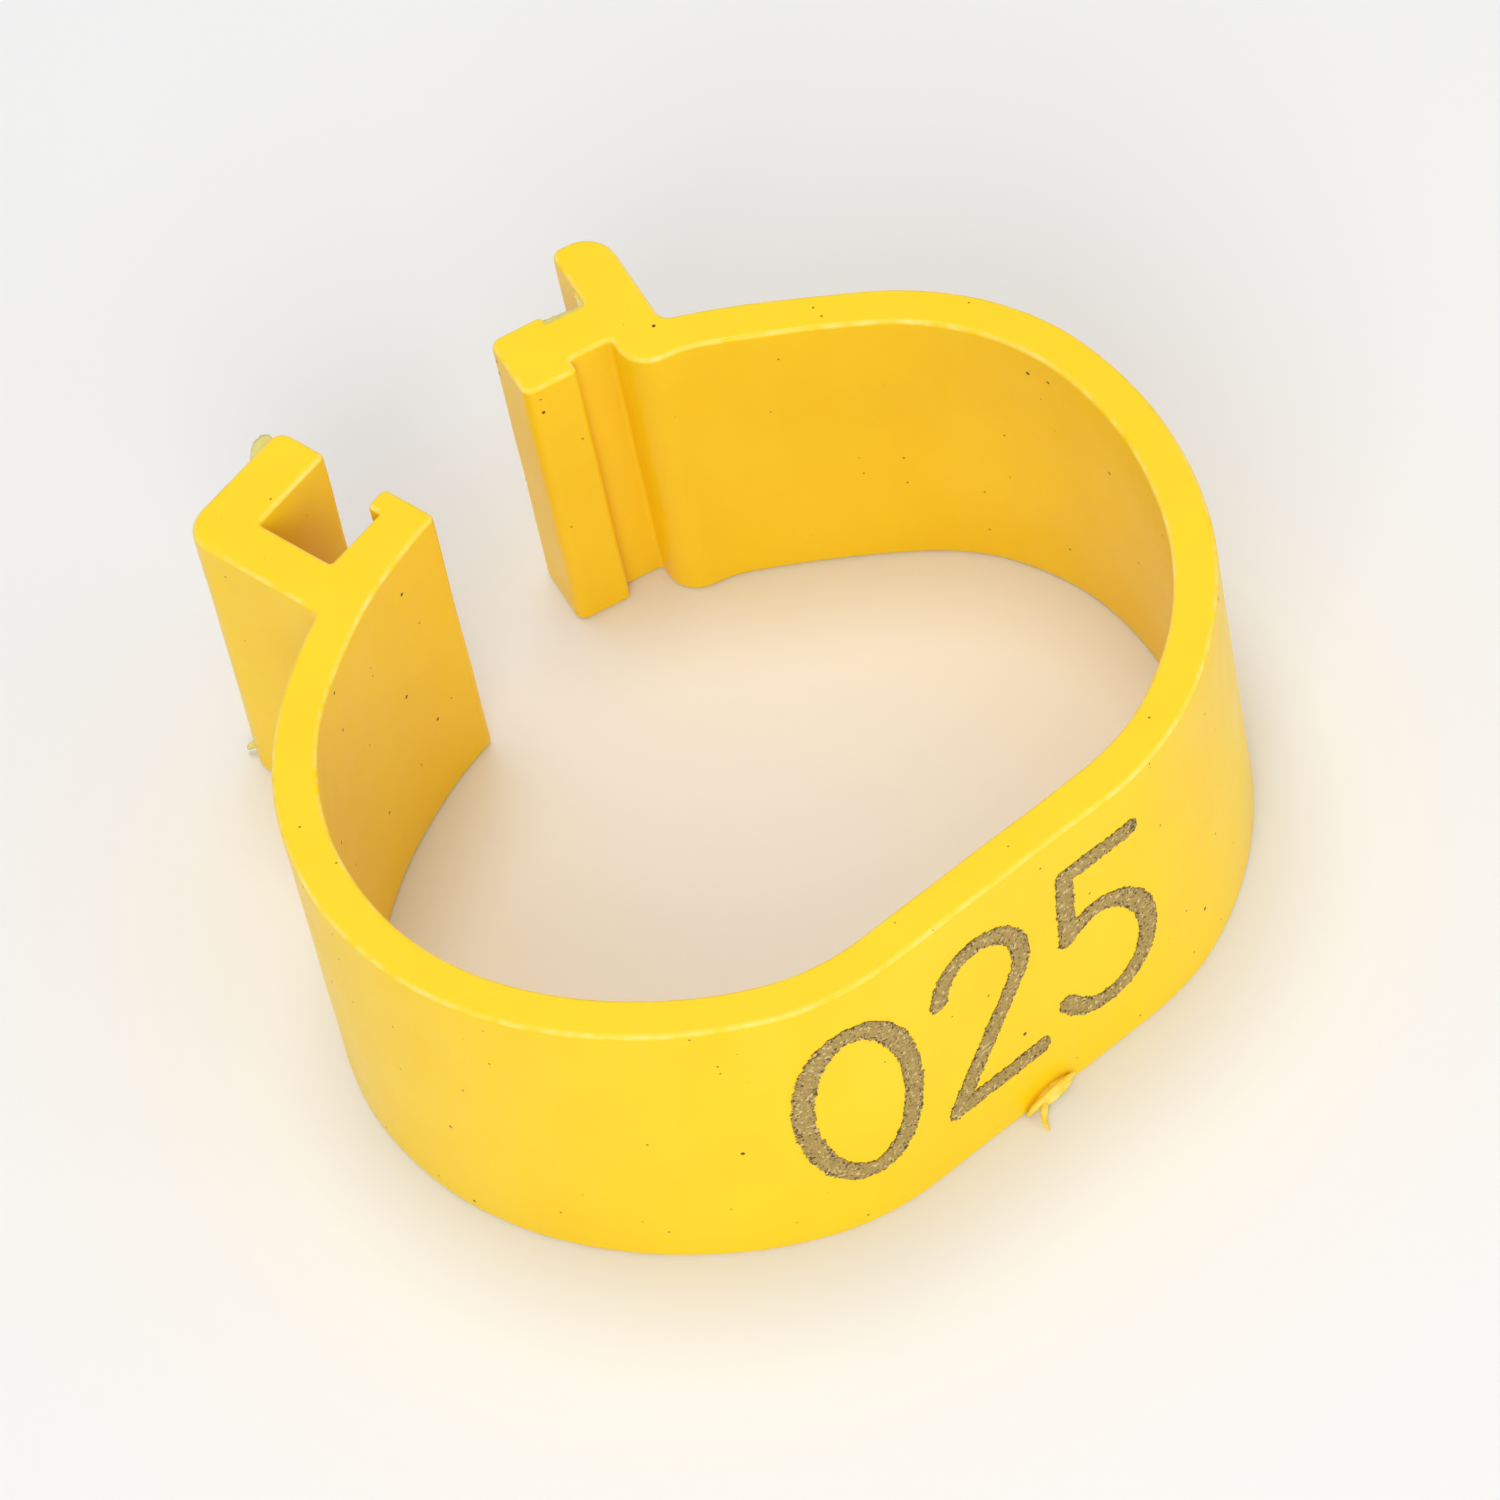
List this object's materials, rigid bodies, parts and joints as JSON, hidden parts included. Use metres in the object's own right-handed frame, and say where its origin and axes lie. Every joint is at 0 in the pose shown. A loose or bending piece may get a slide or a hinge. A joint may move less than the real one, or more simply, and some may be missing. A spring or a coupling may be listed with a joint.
{
  "type": "leg band",
  "caption": "Open plastic clip ring with a flat number plate, two flexible strap arms, and a T-shaped key that snaps into a C-shaped channel.",
  "frame": {"origin": "the middle of the number plate's lower rim, halfway through its thickness", "axes": "+Z along the band's axis, up as the number reads; the plate's outer face looks along -Y and the ring lies towards +Y; the channel arm starts towards -X and the key arm towards +X"},
  "size_m": [0.0262, 0.0262, 0.01],
  "materials": {
    "yellow_plastic": "satin gloss, slightly translucent polyethylene or polypropylene",
    "number_mark": "matte, speckled laser mark in the plastic's surface"
  },
  "bodies": {
    "plate": {"number_plate": "yellow_plastic", "channel_shoulder": "yellow_plastic", "key_shoulder": "yellow_plastic", "gate_stub": "yellow_plastic"},
    "channel_arm_1": {"channel_strap_1": "yellow_plastic"},
    "channel_arm_2": {"channel_strap_2": "yellow_plastic"},
    "channel_arm_3": {"channel_strap_3": "yellow_plastic"},
    "channel_arm_4": {"channel_strap_4": "yellow_plastic", "channel_back_wall": "yellow_plastic", "channel_outer_wall": "yellow_plastic", "channel_hook_wall": "yellow_plastic"},
    "key_arm_1": {"key_strap_1": "yellow_plastic"},
    "key_arm_2": {"key_strap_2": "yellow_plastic"},
    "key_arm_3": {"key_strap_3": "yellow_plastic"},
    "key_arm_4": {"key_strap_4": "yellow_plastic", "key_flange": "yellow_plastic", "key_t_rail": "yellow_plastic"}
  },
  "joints": [
    {"name": "channel_bend_1", "type": "hinge", "parent": "plate", "child": "channel_arm_1", "pos_m": [-0.00686, 0.00082, 0], "axis": [0, 0, -1], "range_deg": [-10, 6.24], "stiffness_Nm_per_rad": 0.25},
    {"name": "channel_bend_2", "type": "hinge", "parent": "channel_arm_1", "child": "channel_arm_2", "pos_m": [-0.01084, 0.00447, 0], "axis": [0, 0, -1], "range_deg": [-7.5, 4.68], "stiffness_Nm_per_rad": 0.25},
    {"name": "channel_bend_3", "type": "hinge", "parent": "channel_arm_2", "child": "channel_arm_3", "pos_m": [-0.01251, 0.00958, 0], "axis": [0, 0, -1], "range_deg": [-5, 3.12], "stiffness_Nm_per_rad": 0.25},
    {"name": "channel_bend_4", "type": "hinge", "parent": "channel_arm_3", "child": "channel_arm_4", "pos_m": [-0.01103, 0.01474, 0], "axis": [0, 0, -1], "range_deg": [-2.5, 1.56], "stiffness_Nm_per_rad": 0.25},
    {"name": "key_bend_1", "type": "hinge", "parent": "plate", "child": "key_arm_1", "pos_m": [0.00688, 0.00076, 0], "axis": [0, 0, 1], "range_deg": [-10, 5.04], "stiffness_Nm_per_rad": 0.25},
    {"name": "key_bend_2", "type": "hinge", "parent": "key_arm_1", "child": "key_arm_2", "pos_m": [0.01104, 0.00479, 0], "axis": [0, 0, 1], "range_deg": [-7.5, 3.78], "stiffness_Nm_per_rad": 0.25},
    {"name": "key_bend_3", "type": "hinge", "parent": "key_arm_2", "child": "key_arm_3", "pos_m": [0.01247, 0.01042, 0], "axis": [0, 0, 1], "range_deg": [-5, 2.52], "stiffness_Nm_per_rad": 0.25},
    {"name": "key_bend_4", "type": "hinge", "parent": "key_arm_3", "child": "key_arm_4", "pos_m": [0.01034, 0.01574, 0], "axis": [0, 0, 1], "range_deg": [-2.5, 1.26], "stiffness_Nm_per_rad": 0.25}
  ]
}
